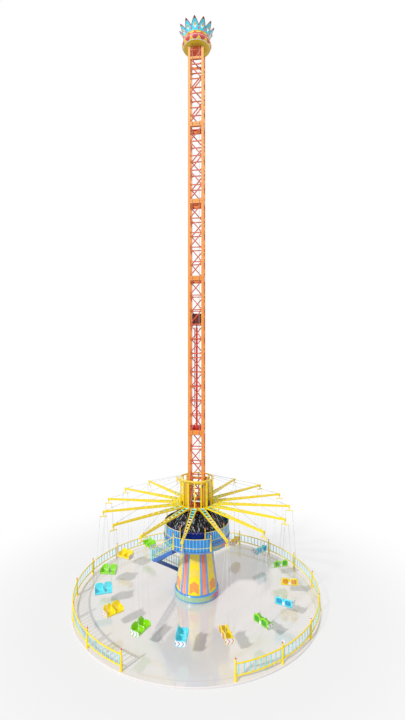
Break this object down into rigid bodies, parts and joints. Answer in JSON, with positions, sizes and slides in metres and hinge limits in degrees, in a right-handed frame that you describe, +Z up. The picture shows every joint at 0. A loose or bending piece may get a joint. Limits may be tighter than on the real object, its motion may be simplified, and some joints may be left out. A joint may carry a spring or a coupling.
{
  "type": "tower swing ride, scale model at 1:2",
  "caption": "Lattice tower carrying a lifting, turning swing carousel with double bucket seats on a round fenced deck; scale model at 1:2.",
  "frame": {"origin": "centre of the round deck's underside", "axes": "+Z up along the tower, -Y towards the entrance gap in the fence, +X to the right seen from the entrance"},
  "size_m": [8.98, 8.9796, 21.1],
  "materials": {
    "band_orange": "satin",
    "band_rainbow": "printed gloss",
    "brace_orange": "satin",
    "carriage_yellow": "satin",
    "crown_red": "gloss",
    "crown_yellow": "gloss",
    "dark_steel": "satin",
    "deck_panel": "smooth pale paint, slight gloss",
    "dome_black": "high gloss",
    "drum_blue": "gloss",
    "floor_grey": "satin",
    "guard_cyan": "satin",
    "head_maroon": "satin",
    "infill_blue": "gloss",
    "panel_orange": "gloss",
    "panel_yellow": "gloss",
    "petal_cyan": "gloss",
    "ram_chrome": "polished",
    "ram_red": "gloss",
    "rib_blue": "gloss",
    "ride_yellow": "gloss",
    "roller_rubber": "matte",
    "rope_steel": "bare wire",
    "seat_cyan": "gloss",
    "seat_green": "gloss",
    "seat_yellow": "gloss",
    "soffit_olive": "satin",
    "stair_blue": "satin",
    "stay_steel": "bare wire",
    "tower_orange": "satin"
  },
  "bodies": {
    "base": {"balcony_floor": "floor_grey", "balcony_railing": "ride_yellow", "crown_petals": "petal_cyan", "crown_red_band": "crown_red", "crown_soffit": "soffit_olive", "crown_yellow_band": "crown_yellow", "deck": "deck_panel", "dome_gores": "dome_black", "fence_left": "ride_yellow", "fence_posts": "ride_yellow", "fence_right": "ride_yellow", "flange_bands": "band_orange", "gallery_fascia": "band_rainbow", "gallery_floor": "floor_grey", "gallery_infill": "infill_blue", "gallery_railing": "ride_yellow", "head_frame": "brace_orange", "hoist_ropes": "rope_steel", "lattice_back": "brace_orange", "lattice_front": "brace_orange", "lattice_left": "brace_orange", "lattice_right": "brace_orange", "machine_drum": "drum_blue", "ram_barrel": "ram_red", "skirt_base_band": "band_rainbow", "skirt_orange_panels": "panel_orange", "skirt_ribs": "rib_blue", "skirt_yellow_panels": "panel_yellow", "stair_landing": "stair_blue", "stair_lower_flight": "stair_blue", "stair_railings": "guard_cyan", "stair_upper_flight": "stair_blue", "tower_base": "dark_steel", "tower_legs": "tower_orange"},
    "ram_stage": {"ram_stage": "ram_chrome"},
    "ram_head": {"ram_head": "head_maroon"},
    "carriage": {"carriage_frame": "carriage_yellow", "guide_rollers": "roller_rubber", "slewing_ring": "dark_steel"},
    "rotor": {"cage_rings": "ride_yellow", "cage_posts": "ride_yellow", "arms": "ride_yellow", "stays": "stay_steel"},
    "seat_01": {"swing_seat_01": "seat_cyan"},
    "seat_02": {"swing_seat_02": "seat_yellow"},
    "seat_03": {"swing_seat_03": "seat_green"},
    "seat_04": {"swing_seat_04": "seat_cyan"},
    "seat_05": {"swing_seat_05": "seat_yellow"},
    "seat_06": {"swing_seat_06": "seat_green"},
    "seat_07": {"swing_seat_07": "seat_cyan"},
    "seat_08": {"swing_seat_08": "seat_yellow"},
    "seat_09": {"swing_seat_09": "seat_green"},
    "seat_10": {"swing_seat_10": "seat_cyan"},
    "seat_11": {"swing_seat_11": "seat_green"},
    "seat_12": {"swing_seat_12": "seat_yellow"},
    "seat_13": {"swing_seat_13": "seat_green"},
    "seat_14": {"swing_seat_14": "seat_cyan"},
    "seat_15": {"swing_seat_15": "seat_yellow"},
    "seat_16": {"swing_seat_16": "seat_green"}
  },
  "joints": [
    {"name": "carriage_lift", "type": "slide", "parent": "base", "child": "carriage", "axis": [0, 0, 1], "range_m": [0, 13.2]},
    {"name": "rotor_spin", "type": "hinge", "parent": "carriage", "child": "rotor", "pos_m": [0, 0, 3.3505], "axis": [0, 0, 1], "continuous": true},
    {"name": "ram_stage_lift", "type": "slide", "parent": "base", "child": "ram_stage", "axis": [0, 0, 1], "range_m": [0, 3.3]},
    {"name": "ram_head_lift", "type": "slide", "parent": "ram_stage", "child": "ram_head", "axis": [0, 0, 1], "range_m": [0, 3.3]},
    {"name": "seat_swing_01", "type": "hinge", "parent": "rotor", "child": "seat_01", "pos_m": [0, -3.4, 3.345], "axis": [-1, 0, 0], "range_deg": [-10, 50]},
    {"name": "seat_swing_02", "type": "hinge", "parent": "rotor", "child": "seat_02", "pos_m": [1.30112, -3.14119, 3.345], "axis": [-0.9239, -0.3827, 0], "range_deg": [-10, 50]},
    {"name": "seat_swing_03", "type": "hinge", "parent": "rotor", "child": "seat_03", "pos_m": [2.40416, -2.40416, 3.345], "axis": [-0.7071, -0.7071, 0], "range_deg": [-10, 50]},
    {"name": "seat_swing_04", "type": "hinge", "parent": "rotor", "child": "seat_04", "pos_m": [3.14119, -1.30112, 3.345], "axis": [-0.3827, -0.9239, 0], "range_deg": [-10, 50]},
    {"name": "seat_swing_05", "type": "hinge", "parent": "rotor", "child": "seat_05", "pos_m": [3.4, 0, 3.345], "axis": [0, -1, 0], "range_deg": [-10, 50]},
    {"name": "seat_swing_06", "type": "hinge", "parent": "rotor", "child": "seat_06", "pos_m": [3.14119, 1.30112, 3.345], "axis": [0.3827, -0.9239, 0], "range_deg": [-10, 50]},
    {"name": "seat_swing_07", "type": "hinge", "parent": "rotor", "child": "seat_07", "pos_m": [2.40416, 2.40416, 3.345], "axis": [0.7071, -0.7071, 0], "range_deg": [-10, 50]},
    {"name": "seat_swing_08", "type": "hinge", "parent": "rotor", "child": "seat_08", "pos_m": [1.30112, 3.14119, 3.345], "axis": [0.9239, -0.3827, 0], "range_deg": [-10, 50]},
    {"name": "seat_swing_09", "type": "hinge", "parent": "rotor", "child": "seat_09", "pos_m": [0, 3.4, 3.345], "axis": [1, 0, 0], "range_deg": [-10, 50]},
    {"name": "seat_swing_10", "type": "hinge", "parent": "rotor", "child": "seat_10", "pos_m": [-1.30112, 3.14119, 3.345], "axis": [0.9239, 0.3827, 0], "range_deg": [-10, 50]},
    {"name": "seat_swing_11", "type": "hinge", "parent": "rotor", "child": "seat_11", "pos_m": [-2.40416, 2.40416, 3.345], "axis": [0.7071, 0.7071, 0], "range_deg": [-10, 50]},
    {"name": "seat_swing_12", "type": "hinge", "parent": "rotor", "child": "seat_12", "pos_m": [-3.14119, 1.30112, 3.345], "axis": [0.3827, 0.9239, 0], "range_deg": [-10, 50]},
    {"name": "seat_swing_13", "type": "hinge", "parent": "rotor", "child": "seat_13", "pos_m": [-3.4, 0, 3.345], "axis": [0, 1, 0], "range_deg": [-10, 50]},
    {"name": "seat_swing_14", "type": "hinge", "parent": "rotor", "child": "seat_14", "pos_m": [-3.14119, -1.30112, 3.345], "axis": [-0.3827, 0.9239, 0], "range_deg": [-10, 50]},
    {"name": "seat_swing_15", "type": "hinge", "parent": "rotor", "child": "seat_15", "pos_m": [-2.40416, -2.40416, 3.345], "axis": [-0.7071, 0.7071, 0], "range_deg": [-10, 50]},
    {"name": "seat_swing_16", "type": "hinge", "parent": "rotor", "child": "seat_16", "pos_m": [-1.30112, -3.14119, 3.345], "axis": [-0.9239, 0.3827, 0], "range_deg": [-10, 50]}
  ],
  "couplings": [
    {"joint": "ram_stage_lift", "follows": "carriage_lift", "ratio": 0.25},
    {"joint": "ram_head_lift", "follows": "carriage_lift", "ratio": 0.25}
  ]
}
